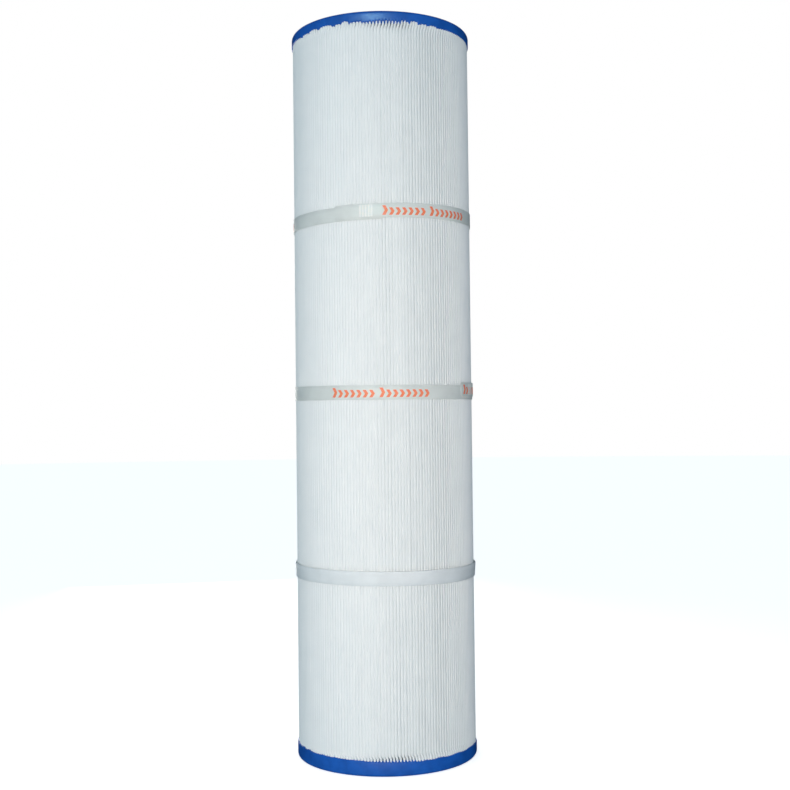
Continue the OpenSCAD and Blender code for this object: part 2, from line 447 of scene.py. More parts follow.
@dataclass(frozen=True)
class StrapFinish(Finish):
    """Extruded off-white strap: milky, with faint die lines along its length."""

    name: str = "strap_milky"
    colour: Colour = (0.735, 0.785, 0.755)
    roughness: float = 0.45
    line_scale: float = 2400.0

    def wire(self, graph: Graph, shader: bpy.types.Node) -> None:
        """Die lines along the strap and slow clouding.

        Args:
            graph: The material's graph.
            shader: The shader to feed.
        """
        place = self.place(graph)
        uv = graph.add("ShaderNodeUVMap", {"uv_map": "strap"}).outputs[0]
        u, v, _ = graph.split(uv)
        lines = graph.noise(graph.join(graph.times(u, 0.02), v, 0.0), self.line_scale, 2.0)
        cloud = graph.noise(place, 60.0, 3.0)
        tint = graph.blend(graph.ramp(cloud, 0.3, 0.7, 0.0, 1.0), self.shade(0.955), self.shade(1.04))
        lined = graph.blend(graph.ramp(lines, 0.4, 0.7, 0.0, 0.25), tint, (0.80, 0.83, 0.82))
        graph.feed(shader.inputs["Base Color"], lined)
        self.bump(graph, shader, lines, 0.03 * MM, 0.5)
        shader.inputs["Subsurface Weight"].default_value = 0.25
        shader.inputs["Subsurface Radius"].default_value = (0.9 * MM, 0.9 * MM, 0.9 * MM)
        shader.inputs["Subsurface Scale"].default_value = 1.0
        shader.inputs["Specular IOR Level"].default_value = 0.45


@dataclass(frozen=True)
class InkFinish(Finish):
    """Orange flexographic ink, thin and a little uneven."""

    name: str = "ink_orange"
    colour: Colour = (0.95, 0.22, 0.085)
    roughness: float = 0.5

    def wire(self, graph: Graph, shader: bpy.types.Node) -> None:
        """Ink density that varies a little over the print.

        Args:
            graph: The material's graph.
            shader: The shader to feed.
        """
        place = self.place(graph)
        cover = graph.noise(place, 900.0, 3.0, 0.65)
        thin = tuple(c * 0.6 + 0.32 for c in self.colour)
        inked = graph.blend(graph.ramp(cover, 0.42, 0.72, 0.0, 0.45), self.colour, thin)
        graph.feed(shader.inputs["Base Color"], inked)
        self.bump(graph, shader, cover, 0.02 * MM, 0.3)


@dataclass(frozen=True)
class HotMeltFinish(Finish):
    """Hot-melt adhesive: cloudy, cream and soft-edged."""

    name: str = "hot_melt"
    colour: Colour = (0.80, 0.78, 0.68)
    roughness: float = 0.38

    def wire(self, graph: Graph, shader: bpy.types.Node) -> None:
        """Clouds and the ropey surface of a cooled bead.

        Args:
            graph: The material's graph.
            shader: The shader to feed.
        """
        place = self.place(graph)
        cloud = graph.noise(place, 300.0, 3.0)
        cloudy = graph.blend(graph.ramp(cloud, 0.3, 0.7, 0.0, 1.0), self.colour, (0.90, 0.89, 0.82))
        graph.feed(shader.inputs["Base Color"], cloudy)
        self.bump(graph, shader, graph.noise(place, 700.0, 2.0), 0.15 * MM, 0.6)
        shader.inputs["Subsurface Weight"].default_value = 0.2
        shader.inputs["Subsurface Radius"].default_value = (1.5 * MM, 1.4 * MM, 1.1 * MM)


@dataclass(frozen=True)
class MouldedFinish(Finish):
    """Injection-moulded white plastic of the core: fine spark texture and faint flow marks."""

    name: str = "core_moulded"
    colour: Colour = (0.78, 0.79, 0.77)
    roughness: float = 0.45

    def wire(self, graph: Graph, shader: bpy.types.Node) -> None:
        """Spark texture and flow marks.

        Args:
            graph: The material's graph.
            shader: The shader to feed.
        """
        place = self.place(graph)
        flow = graph.noise(place, 90.0, 3.0)
        grain = graph.noise(place, 2200.0, 2.0)
        marked = graph.blend(graph.ramp(flow, 0.3, 0.7, 0.0, 1.0), self.shade(0.93), self.colour)
        graph.feed(shader.inputs["Base Color"], marked)
        dulled = graph.ramp(flow, 0.3, 0.7, self.roughness - 0.06, self.roughness + 0.06)
        graph.feed(shader.inputs["Roughness"], dulled)
        self.bump(graph, shader, grain, 0.04 * MM, 0.4)


@dataclass(frozen=True)
class PaperFinish(Finish):
    """Seamless studio paper of the floor."""

    name: str = "studio_paper"
    colour: Colour = (0.9, 0.9, 0.9)
    roughness: float = 0.9
    glow: float = 0.72

    def wire(self, graph: Graph, shader: bpy.types.Node) -> None:
        """Even white paper with a faint tooth.

        Args:
            graph: The material's graph.
            shader: The shader to feed.
        """
        tooth = graph.noise(self.place(graph), 300.0, 2.0)
        graph.feed(shader.inputs["Base Color"], graph.blend(tooth, self.colour, self.shade(0.985)))
        shader.inputs["Emission Color"].default_value = (1.0, 1.0, 1.0, 1.0)
        shader.inputs["Emission Strength"].default_value = self.glow
        shader.inputs["Specular IOR Level"].default_value = 0.0


FABRIC = FabricFinish()
CAST = CastFinish()
STRAP = StrapFinish()
CLEAR_STRAP = StrapFinish(name="strap_white", colour=(0.80, 0.86, 0.875))
INK = InkFinish()
HOT_MELT = HotMeltFinish()
WELD = HotMeltFinish(name="weld_white", colour=(0.86, 0.88, 0.87))
MOULDED = MouldedFinish()
PAPER = PaperFinish()


# ---------------------------------------------------------------------------------------------------
# Sizes and mesh helpers
# ---------------------------------------------------------------------------------------------------


@dataclass(frozen=True)
class CartridgeSizes:
    """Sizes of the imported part, in metres."""

    length: float
    cap_r: float
    opening_r: float
    top_cap_h: float
    bottom_cap_h: float
    media_r: float
    media_low: float
    media_high: float
    core_in_r: float
    core_r: float
    bead_r: float
    pleats: int = 180
    fabric_t: float = 0.5 * MM
    core_gap: float = 0.2 * MM

    @classmethod
    def read(cls, record: dict) -> "CartridgeSizes":
        """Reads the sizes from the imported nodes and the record.

        Args:
            record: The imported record.

        Returns:
            The sizes.
        """
        bottom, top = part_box("end_cap_bottom"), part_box("end_cap_top")
        media, core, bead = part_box("media_pleats"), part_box("core_section_1"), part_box("band_adhesive_upper")
        opening = next(m for m in record["mounts"] if m["name"] == "top_opening")["dims"]["r_mm"] * MM
        return cls(
            length=top[1].z, cap_r=bottom[1].x, opening_r=opening, top_cap_h=top[1].z - top[0].z,
            bottom_cap_h=bottom[1].z, media_r=media[1].x, media_low=media[0].z, media_high=media[1].z,
            core_in_r=core[1].x - CORE_WALL, core_r=core[1].x, bead_r=bead[1].x)

    @property
    def fold_r(self) -> float:
        """Radius of the inner folds."""
        return self.core_r + self.core_gap

    @property
    def pitch(self) -> float:
        """Angle from one pleat to the next."""
        return math.tau / self.pleats


class MeshKit:
    """Small helpers that turn arrays into objects."""

    @staticmethod
    def solid(name: str, points: Sequence[Sequence[float]], faces: Sequence[Sequence[int]],
              finish: Optional[Finish] = None, smooth: bool = True) -> bpy.types.Object:
        """Makes an object from points and faces.

        Args:
            name: Object and mesh name.
            points: Vertex places.
            faces: Vertex indices of each face.
            finish: The finish of every face.
            smooth: Whether faces are shaded smooth.

        Returns:
            The linked object.
        """
        mesh = bpy.data.meshes.new(name)
        mesh.from_pydata([tuple(map(float, p)) for p in points], [], [tuple(map(int, f)) for f in faces])
        mesh.validate()
        mesh.update()
        mesh.polygons.foreach_set("use_smooth", [smooth] * len(mesh.polygons))
        obj = bpy.data.objects.new(name, mesh)
        bpy.context.scene.collection.objects.link(obj)
        if finish:
            mesh.materials.append(finish.material())
        return obj

    @staticmethod
    def tube_faces(rows: int, columns: int, wrap_rows: bool,
                   wrap_columns: bool) -> list[tuple[int, int, int, int]]:
        """Quads of a grid whose vertices run row by row.

        Args:
            rows: Number of rows.
            columns: Number of vertices in a row.
            wrap_rows: Whether the last row joins the first.
            wrap_columns: Whether the last column joins the first.

        Returns:
            The quads.
        """
        quads = []
        for r in range(rows if wrap_rows else rows - 1):
            r2 = (r + 1) % rows
            for c in range(columns if wrap_columns else columns - 1):
                c2 = (c + 1) % columns
                quads.append((r * columns + c, r * columns + c2, r2 * columns + c2, r2 * columns + c))
        return quads

    @staticmethod
    def sharpen(obj: bpy.types.Object, degrees: float) -> None:
        """Shades smooth but keeps edges sharper than an angle.

        Args:
            obj: The object.
            degrees: The angle past which an edge stays sharp.
        """
        obj.data.set_sharp_from_angle(angle=math.radians(degrees))

    @staticmethod
    def uv(obj: bpy.types.Object, name: str, per_vertex: np.ndarray) -> None:
        """Stores a UV map from one place per vertex.

        Args:
            obj: The object.
            name: The map's name.
            per_vertex: An array of vertex count by 2.
        """
        mesh = obj.data
        layer = mesh.uv_layers.new(name=name)
        index = np.zeros(len(mesh.loops), np.int32)
        mesh.loops.foreach_get("vertex_index", index)
        layer.data.foreach_set("uv", np.asarray(per_vertex, np.float32)[index].ravel())


class Drift:
    """Slow, repeatable variation round the cartridge, made of a few seeded waves."""

    def __init__(self, seed: int, waves: int, low: int, high: int) -> None:
        """Draws the waves.

        Args:
            seed: Seed of the draw.
            waves: Number of waves.
            low: Fewest periods round the cartridge.
            high: Most periods round the cartridge.
        """
        draw = np.random.default_rng(seed)
        self.count = draw.integers(low, high + 1, waves)
        self.phase = draw.uniform(0.0, math.tau, waves)
        self.weight = draw.uniform(0.5, 1.0, waves)
        self.weight /= np.sqrt((self.weight ** 2).sum() / 2.0)

    def at(self, angle: np.ndarray) -> np.ndarray:
        """The variation at each angle, about -1 to 1."""
        waves = np.sin(np.multiply.outer(angle, self.count) + self.phase) * self.weight
        return waves.sum(-1) / 2.0


# ---------------------------------------------------------------------------------------------------
# Folded fabric
# ---------------------------------------------------------------------------------------------------


class PleatKind(Enum):
    """The two kinds of pleat: a plain fold, and the one where the strip's free ends meet."""

    FOLDED = "folded"
    SEAM = "seam"


@dataclass
class PleatedMedia:
    """The fabric: one pleat's fold, repeated round the core with the wander of a hand-loaded pack.

    Attributes:
        sizes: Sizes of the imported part.
        tip_half_w: Half the width of a pleat near its tip.
        bend: How far the outer fold lies over to one side.
        bend_power: How late the bend starts on the way out to the tip.
        bundling: Share by which the bend differs from one bundle of pleats to the next.
        lean_power: How the lean grows on the way out from the core.
        drift: Slow lean, over many pleats.
        jostle: Each pleat's own lean.
        sway: Lean that changes from bundle to bundle.
        ring: Size of the circle on which the lean is read.
        sink: How far a tip may stand back from the fabric's radius.
        pinch: Share by which the pleats narrow where they leave a cap.
        pinch_reach: Height over which they widen again.
        pinch_least: Share of the pinch that is left away from the open side.
        low_haste: How much sooner the pleats widen above the lower cap than below the upper one.
        open_at: Direction of the side with the most pinch.
        open_span: Cosines of the angle from that side at which the pinch starts and is full.
        seed: Seed of the wander.
    """

    sizes: CartridgeSizes
    tip_half_w: float = 1.45 * MM
    bend: float = -2.0 * MM
    bend_power: float = 24.0
    bundling: float = 0.22
    lean_power: float = 1.7
    drift: float = 0.9 * MM
    jostle: float = 0.10 * MM
    sway: float = 0.25 * MM
    ring: float = 2.6
    sink: float = 0.12 * MM
    pinch: float = 0.30
    pinch_reach: float = 10.0 * MM
    pinch_least: float = 0.12
    low_haste: float = 1.5
    open_at: float = math.radians(275)
    open_span: tuple[float, float] = (0.945, 0.995)
    seed: int = 7

    @property
    def heights(self) -> np.ndarray:
        """Heights of the rows, closer together where the fabric leaves the caps."""
        s = self.sizes
        low, high = s.bottom_cap_h, s.length - s.top_cap_h
        near = np.array([-2.0, 1.5, 4.0, 6.5, 9.5]) * MM
        middle = np.linspace(low + 45 * MM, high - 45 * MM, 8)
        return np.concatenate([[s.media_low], low + near, middle, (high - near)[::-1], [s.media_high]])

    @property
    def flat_size(self) -> tuple[float, float]:
        """Width and length of the strip of fabric before it was folded."""
        s = self.sizes
        across_tip = 2 * self.tip_half_w
        across_fold = math.pi * s.fold_r / s.pleats
        one_pleat = 2 * (s.media_r - s.fold_r) + across_tip + across_fold
        return s.media_high - s.media_low, s.pleats * one_pleat

    def outer_side(self, kind: PleatKind) -> list[tuple[float, float]]:
        """The fabric's outer face from valley to tip, on the side of growing angle.

        Args:
            kind: Which pleat.

        Returns:
            Pairs of radius and sideways distance from the pleat's middle line.
        """
        s, t = self.sizes, self.sizes.fabric_t
        valley_r = s.fold_r + t
        valley_w = math.sin(s.pitch / 2) * valley_r
        gap = math.sin(s.pitch / 2) * s.fold_r / 2 - t / 2
        shoulder = s.media_r - 1.15 * MM
        side = [(valley_r, valley_w), (valley_r + 0.12 * MM, valley_w - gap)]
        for share in (0.45, 0.82, 0.90, 0.955):
            r = valley_r + (shoulder - valley_r) * share
            w = (valley_w - gap) + (self.tip_half_w - (valley_w - gap)) * share
            side.append((r, w))
        if kind is PleatKind.SEAM:
            return side + [(shoulder, self.tip_half_w - 0.3 * MM), (s.media_r, self.tip_half_w - 0.4 * MM)]
        depth = s.media_r - shoulder
        for degrees in (0, 26, 48, 67, 90):
            a = math.radians(degrees)
            side.append((shoulder + depth * math.sin(a), self.tip_half_w * math.cos(a) ** 0.8))
        return side

    def inner_side(self, kind: PleatKind) -> list[tuple[float, float]]:
        """The fabric's inner face from the tip down to the fold on the core, on the side of growing angle.

        Args:
            kind: Which pleat.

        Returns:
            Pairs of radius and sideways distance from the pleat's middle line.
        """
        s, t = self.sizes, self.sizes.fabric_t
        fold_w = math.sin(s.pitch / 2) * s.fold_r
        foot = (s.fold_r + 0.1 * MM, fold_w / 2 - t / 2 + 0.02 * MM)
        if kind is PleatKind.SEAM:
            return [(s.media_r, 0.5 * MM), foot, (s.fold_r, fold_w)]
        return [
            (s.media_r - t, 0.0),
            (s.media_r - t - 0.5 * MM, self.tip_half_w - t),
            foot,
            (s.fold_r, fold_w),
        ]

    def pleat(self, kind: PleatKind) -> bpy.types.Object:
        """One pleat from valley to valley, standing at angle zero.

        Args:
            kind: Which pleat.

        Returns:
            A mesh object with a UV map of fabric length and height.
        """
        outer, inner = self.outer_side(kind), self.inner_side(kind)
        if kind is PleatKind.SEAM:
            loops = [outer + inner, [(r, -w) for r, w in reversed(outer + inner)]]
        else:
            mirrored = [(r, -w) for r, w in reversed(inner[1:])]
            loops = [outer + [(r, -w) for r, w in reversed(outer[:-1])], mirrored + inner]
        heights = self.heights
        points: list[tuple[float, float, float]] = []
        faces: list[tuple[int, ...]] = []
        uv: list[tuple[float, float]] = []
        for loop in loops:
            start = len(points)
            run = np.concatenate([[0.0], np.cumsum([math.dist(a, b) for a, b in zip(loop, loop[1:])])])
            for z in heights:
                for (r, w), along in zip(loop, run):
                    points.append((math.sqrt(max(r * r - w * w, 0.0)), w, z))
                    uv.append((along, z))
            for a, b, c, d in MeshKit.tube_faces(len(heights), len(loop), False, False):
                faces.append((start + a, start + b, start + c, start + d))
        faces += self.end_faces([len(loop) for loop in loops], kind)
        obj = MeshKit.solid(f"pleat_{kind.value}", points, faces)
        MeshKit.uv(obj, "fabric", np.array(uv))
        return obj

    def end_faces(self, counts: Sequence[int], kind: PleatKind) -> list[tuple[int, ...]]:
        """Faces that close the fabric's cut ends at both heights.

        Args:
            counts: Points across each loop.
            kind: Which pleat.

        Returns:
            The faces' vertex indices.
        """
        rows = len(self.heights)
        last = rows - 1
        if kind is PleatKind.SEAM:
            faces, start = [], 0
            for count in counts:
                faces.append(tuple(start + i for i in range(count)))
                faces.append(tuple(start + last * count + i for i in reversed(range(count))))
                start += count * rows
            return faces
        outer, inner = counts
        start = outer * rows
        low = list(range(outer)) + [start + i for i in range(inner)]
        high = [last * outer + i for i in range(outer)] + [start + last * inner + i for i in range(inner)]
        return [tuple(low), tuple(reversed(high))]

    def tree(self) -> GeometryTree:
        """The tree that repeats the pleat round the core and lets the tips wander.

        Returns:
            A tree with inputs for the count, the sizes of the wander and the seam pleat.
        """
        tree = GeometryTree("pleat_pack")
        count = tree.whole("Pleats", self.sizes.pleats)
        seam = tree.thing("Seam Pleat")
        fold_r = tree.number("Fold Radius", self.sizes.fold_r)
        tip_r = tree.number("Tip Radius", self.sizes.media_r)
        drift = tree.number("Drift", self.drift)
        jostle = tree.number("Jostle", self.jostle)
        sway = tree.number("Sway", self.sway)
        bend = tree.number("Bend", self.bend)
        bend_power = tree.number("Bend Power", self.bend_power)
        pinch = tree.number("Pinch", self.pinch)
        pinch_reach = tree.number("Pinch Reach", self.pinch_reach)
        low_rim = tree.number("Lower Rim", self.sizes.bottom_cap_h)
        high_rim = tree.number("Upper Rim", self.sizes.length - self.sizes.top_cap_h)
        open_at = tree.number("Open Direction", self.open_at)
        seed = tree.number("Seed", float(self.seed))
        index = tree.add("GeometryNodeInputIndex").outputs[0]
        spots = tree.add("GeometryNodePoints", Count=count)
        named = tree.add("GeometryNodeStoreNamedAttribute", {"data_type": "FLOAT", "domain": "POINT"},
                         Geometry=spots.outputs[0], Name="pleat", Value=index)
        turn = tree.over(tree.times(index, math.tau), count)
        spin = tree.add("FunctionNodeEulerToRotation", Euler=tree.join(0.0, 0.0, turn)).outputs[0]
        is_seam = tree.math("LESS_THAN", index, 0.5)
        is_fold = tree.math("GREATER_THAN", index, 0.5)
        seam_mesh = tree.add("GeometryNodeObjectInfo", {"transform_space": "ORIGINAL"}, Object=seam)
        folds = tree.add("GeometryNodeInstanceOnPoints", Points=named.outputs[0], Selection=is_fold,
                         Instance=tree.entry.outputs[0], Rotation=spin)
        seams = tree.add("GeometryNodeInstanceOnPoints", Points=named.outputs[0], Selection=is_seam,
                         Instance=seam_mesh.outputs["Geometry"], Rotation=spin)
        both = tree.add("GeometryNodeJoinGeometry")
        tree.tree.links.new(folds.outputs[0], both.inputs[0])
        tree.tree.links.new(seams.outputs[0], both.inputs[0])
        real = tree.add("GeometryNodeRealizeInstances", Geometry=both.outputs[0])

        x, y, z = tree.split(tree.add("GeometryNodeInputPosition").outputs[0])
        radius = tree.math("SQRT", tree.plus(tree.times(x, x), tree.times(y, y)))
        reach = tree.over(tree.minus(radius, fold_r), tree.minus(tip_r, fold_r))
        depth = tree.math("MAXIMUM", reach, 0.0)
        reach = tree.math("POWER", depth, self.lean_power)
        pleat = tree.add("GeometryNodeInputNamedAttribute", {"data_type": "FLOAT"}, Name="pleat").outputs[0]
        angle = tree.over(tree.times(pleat, math.tau), count)
        # The drift is read on a circle, so it closes on itself past the last pleat.
        ring_x = tree.times(tree.math("COSINE", angle), self.ring)
        ring_y = tree.times(tree.math("SINE", angle), self.ring)
        slow = self._signed(tree, tree.join(ring_x, ring_y, tree.plus(tree.times(z, 1.2), seed)), 1.0)
        own = self._signed(tree, tree.join(tree.times(pleat, 3.7), tree.times(z, 2.2), seed), 1.0)
        wave = self._signed(tree, tree.join(tree.times(ring_x, 2.5), tree.times(ring_y, 2.5),
                                            tree.plus(tree.times(z, 7.0), seed)), 1.0)
        lean = tree.plus(tree.times(slow, drift), tree.times(own, jostle))
        lean = tree.plus(lean, tree.times(wave, sway))
        from_seam = tree.math("MINIMUM", pleat, tree.minus(count, pleat))
        free = tree.ramp(from_seam, 0.5, 6.0, 0.0, 1.0)
        aside = tree.minus(tree.math("ARCTAN2", y, x), angle)
        aside = tree.math("WRAP", aside, -math.pi, math.pi)
        facing = tree.math("COSINE", tree.minus(angle, open_at))
        zone = tree.ramp(facing, *self.open_span, self.pinch_least, 1.0)
        # The pleats close up again sooner above the lower cap than below the upper one.
        from_low = tree.times(tree.minus(z, low_rim), self.low_haste)
        from_rim = tree.math("MINIMUM", from_low, tree.minus(high_rim, z))
        near = tree.ramp(from_rim, 1.5 * MM, pinch_reach, 1.0, 0.0)
        upright = tree.ramp(from_rim, 1.5 * MM, tree.times(pinch_reach, 0.6), 1.0, 0.0)
        squeeze = tree.times(tree.times(near, zone), tree.times(pinch, free))
        narrowing = tree.times(tree.times(aside, radius), squeeze)
        shift = tree.times(tree.minus(tree.times(lean, free), narrowing), reach)
        loose = tree.times(tree.ramp(from_seam, 0.5, 30.0, 0.0, 1.0), tree.minus(1.0, upright))
        bundle = tree.plus(1.0, tree.times(wave, self.bundling))
        fold_over = tree.times(tree.times(bend, bundle), loose)
        shift = tree.plus(shift, tree.times(fold_over, tree.math("POWER", depth, bend_power)))
        out_x, out_y = tree.over(x, radius), tree.over(y, radius)
        sink = tree.times(tree.times(self._white(tree, pleat, 5.0), self.sink), reach)
        sink = tree.times(sink, free)
        offset = tree.join(
            tree.minus(tree.times(tree.times(out_y, -1.0), shift),
                       tree.times(out_x, sink)),
            tree.minus(tree.times(out_x, shift), tree.times(out_y, sink)),
            0.0)
        moved = tree.add("GeometryNodeSetPosition", Geometry=real.outputs[0], Offset=offset)
        merged = tree.add("GeometryNodeMergeByDistance", Geometry=moved.outputs[0], Distance=0.02 * MM)
        shaded = tree.add("GeometryNodeSetShadeSmooth", Geometry=merged.outputs[0])
        tree.close(shaded.outputs[0], FABRIC.material())
        return tree

    @staticmethod
    def _signed(tree: GeometryTree, vector: Value, scale: float) -> bpy.types.NodeSocket:
        """Noise between about -1 and 1.

        Args:
            tree: The tree.
            vector: Where it is read.
            scale: Cells per unit.

        Returns:
            The signed noise.
        """
        noise = tree.noise(vector, scale, 1.0)
        return tree.times(tree.minus(noise, 0.5), 3.2)

    @staticmethod
    def _white(tree: GeometryTree, value: Value, offset: float) -> bpy.types.NodeSocket:
        """A number between 0 and 1 that belongs to a value."""
        source = tree.plus(value, offset)
        return tree.add("ShaderNodeTexWhiteNoise", {"noise_dimensions": "1D"}, W=source).outputs[0]

    def build(self) -> bpy.types.Object:
        """Builds the fabric and lets it stand for the plain folded solid.

        Returns:
            The fabric.
        """
        fabric, seam = self.pleat(PleatKind.FOLDED), self.pleat(PleatKind.SEAM)
        fabric.name = "media_fabric"
        self.tree().run(fabric, Seam_Pleat=seam)
        bpy.data.objects.remove(seam)
        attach(fabric, BODY)
        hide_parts("media_pleats")
        return fabric


# ---------------------------------------------------------------------------------------------------
# End caps
# ---------------------------------------------------------------------------------------------------


class End(Enum):
    """Which end of the cartridge a cap closes."""

    BOTTOM = "bottom"
    TOP = "top"


@dataclass(frozen=True)
class Lobe:
    """A bundle of pleat tips that stands out of the compound.

    Attributes:
        start: Where it begins, in degrees from the front, positive to the viewer's right.
        end: Where it ends.
        rise: How far it stands out, in metres.
    """

    start: float
    end: float
    rise: float


@dataclass
class EndCap:
    """A cast cap: rest face with sealing lip and dimples, rounded edge, side wall and uneven fill line.

    Attributes:
        sizes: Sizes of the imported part.
        end: Which end it closes.
        seed: Seed of its fill line.
        per_pleat: Columns of the mesh to one pleat.
        edge_r: Radius of the rounded outer edge.
        mouth: Chamfer of the opening.
        groove_w: Width of the groove beside the sealing lip.
        groove_d: Depth of the groove.
        lip_w: Width of the sealing lip.
        dimples: Number of moulding dimples.
        dimple_r: Radius of a dimple.
        dimple_d: Depth of a dimple.
        lobes: Bundles of tips that stand out at the front.
        rise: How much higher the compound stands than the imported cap.
        slope: How much it rises towards the left side, and falls towards the right one.
        drape: How much further the compound reaches up between the pleats.
        ripple: Slow rise and fall of the fill line.
        spike: Height of the points drawn up on each pleat where they are strongest.
        spike_least: Share of that height elsewhere.
        spike_at: Direction in which the points are strongest.
        spike_span: Angle over which they fade.
    """

    sizes: CartridgeSizes
    end: End
    seed: int
    per_pleat: int = 6
    edge_r: float = 3.6 * MM
    mouth: float = 1.2 * MM
    groove_w: float = 5.0 * MM
    groove_d: float = 1.4 * MM
    lip_w: float = 9.0 * MM
    dimples: int = 12
    dimple_r: float = 3.5 * MM
    dimple_d: float = 1.6 * MM
    lobes: tuple[Lobe, ...] = ()
    rise: float = 0.2 * MM
    slope: float = 0.0
    drape: float = 0.5 * MM
    ripple: float = 0.18 * MM
    spike: float = 1.7 * MM
    spike_least: float = 0.04
    spike_at: float = math.radians(274)
    spike_span: float = math.radians(13)

    @property
    def height(self) -> float:
        """Height of the side wall."""
        return self.sizes.top_cap_h if self.end is End.TOP else self.sizes.bottom_cap_h

    def angles(self) -> np.ndarray:
        """Angles of the columns, a whole number of them to a pleat."""
        count = self.sizes.pleats * self.per_pleat
        return np.arange(count) * math.tau / count

    def fill_line(self, angle: np.ndarray) -> tuple[np.ndarray, np.ndarray]:
        """Height of the compound on the pleat tips and between the pleats.

        Args:
            angle: Angles round the cap.

        Returns:
            The height of the skin's free edge and of the compound in the gaps, at each angle.
        """
        draw = np.random.default_rng(self.seed)
        line = np.full_like(angle, self.height + self.rise)
        line += Drift(self.seed + 1, 5, 2, 7).at(angle) * self.ripple - self.slope * np.cos(angle)
        lobes = list(self.lobes)
        at = max((lobe.end for lobe in lobes), default=-180.0) + draw.uniform(6.0, 16.0)
        stop = min((lobe.start for lobe in lobes), default=180.0) + (360.0 if lobes else 0.0)
        while at < stop - 12.0:
            width = draw.uniform(5.0, 13.0)
            lobes.append(Lobe(at, at + width, draw.uniform(0.3, 1.0) * 1.2 * MM))
            at += width + draw.choice([0.0, 0.0, 3.0, 9.0])
        turn = np.degrees(angle)
        for lobe in lobes:
            half = (lobe.end - lobe.start) / 2
            away = (turn - 270.0 - lobe.start - half + 180.0) % 360.0 - 180.0
            inside = np.clip(1.0 - np.abs(away / half) ** 2.6, 0.0, 1.0)
            line -= lobe.rise * np.sqrt(inside)
        in_pleat = np.cos(angle * self.sizes.pleats)
        away = np.abs((angle - self.spike_at + math.pi) % math.tau - math.pi)
        strong = np.exp(-((away / self.spike_span) ** 2))
        number = np.floor(angle * self.sizes.pleats / math.tau + 0.5)
        own = 0.5 + 0.5 * np.sin(number * GOLDEN_ANGLE + self.seed)
        reach = self.spike_least * self.spike * own + self.spike * strong * (0.65 + 0.35 * own)
        skin = line - reach * np.clip(in_pleat * 1.4 + 0.35, -0.35, 1.0)
        gap = line + reach * 0.5 + self.drape
        return skin, gap

    def profile(self) -> tuple[list[np.ndarray], list[np.ndarray]]:
        """Rows of the cap's surface, from the bore's inner end round the rest face to the core's wall.

        Returns:
            For each row, the radius and the height at every angle.
        """
        s, angle = self.sizes, self.angles()
        ones = np.ones_like(angle)
        skin, gap = self.fill_line(angle)
        lip = s.opening_r + self.lip_w
        groove = lip + self.groove_w
        edge = s.cap_r - self.edge_r
        face_mid = (groove + edge) / 2
        rows: list[tuple[Union[float, np.ndarray], Union[float, np.ndarray]]] = [
            (s.core_in_r + 0.6 * MM, self.height), (s.core_in_r, self.height),
            (s.opening_r + 0.3 * MM, self.height), (s.opening_r, self.height - 0.3 * MM),
            (s.opening_r, self.height * 0.5), (s.opening_r, self.mouth + 0.2 * MM),
            (s.opening_r + 0.1 * MM, self.mouth), (s.opening_r + self.mouth - 0.1 * MM, 0.15 * MM),
            (s.opening_r + self.mouth + 0.2 * MM, 0.0), (lip - 0.4 * MM, 0.0), (lip - 0.1 * MM, 0.12 * MM),
            (lip + 0.15 * MM, self.groove_d - 0.2 * MM), (lip + 0.5 * MM, self.groove_d),
            (groove - 0.5 * MM, self.groove_d), (groove - 0.15 * MM, self.groove_d - 0.2 * MM),
            (groove + 0.1 * MM, 0.12 * MM), (groove + 0.4 * MM, 0.0),
        ]
        near = [face_mid + self.dimple_r * share for share in np.linspace(-1.25, 1.25, 11)]
        turn = math.tau / self.dimples
        for r in near:
            across = np.abs(angle % turn - turn / 2) * r
            away = np.hypot(across, r - face_mid) / self.dimple_r
            bowl = np.clip((1.08 - away) / 0.22, 0.0, 1.0)
            rows.append((r, self.dimple_d * bowl * bowl * (3 - 2 * bowl)))
        rows.append((edge - 0.1 * MM, 0.0))
        for share in np.linspace(0.12, 1.0, 7):
            a = share * math.pi / 2
            rows.append((edge + self.edge_r * math.sin(a), self.edge_r * (1 - math.cos(a))))
        wall_top = skin - 1.1 * MM
        rows += [
            (s.cap_r, (self.edge_r + wall_top) / 2), (s.cap_r, wall_top),
            (s.cap_r - 0.12 * MM, skin - 0.55 * MM), (s.cap_r - 0.45 * MM, skin - 0.15 * MM),
            (s.media_r + 0.04 * MM, skin), (s.media_r - 0.55 * MM, (skin + gap) / 2),
            (s.media_r - 1.2 * MM, gap), (s.media_r - 4 * MM, gap - 0.8 * MM),
            (s.media_r - 16 * MM, self.height - 1.2 * MM), (s.fold_r + 4 * MM, self.height - 1.0 * MM),
            (s.core_r + 0.3 * MM, self.height - 0.2 * MM), (s.core_r - 0.6 * MM, self.height),
        ]
        return [r * ones for r, _ in rows], [z * ones for _, z in rows]

    def build(self) -> bpy.types.Object:
        """Builds the cap and lets it stand for the plain solid.

        Returns:
            The cap.
        """
        radius, height = self.profile()
        angle = self.angles()
        points = []
        for r, z in zip(radius, height):
            if self.end is End.TOP:
                z = self.sizes.length - z
            points.append(np.stack([r * np.cos(angle), r * np.sin(angle), z], 1))
        faces = MeshKit.tube_faces(len(radius), len(angle), True, True)
        if self.end is End.TOP:
            faces = [tuple(reversed(f)) for f in faces]
        cap = MeshKit.solid(f"cap_{self.end.value}_cast", np.concatenate(points), faces, CAST)
        MeshKit.sharpen(cap, 60)
        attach(cap, BODY)
        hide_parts(f"end_cap_{self.end.value}")
        return cap


# ---------------------------------------------------------------------------------------------------
# Hold-down bands
# ---------------------------------------------------------------------------------------------------


class BandPlace(Enum):
    """The three bands."""

    UPPER = "upper"
    MIDDLE = "middle"
    LOWER = "lower"


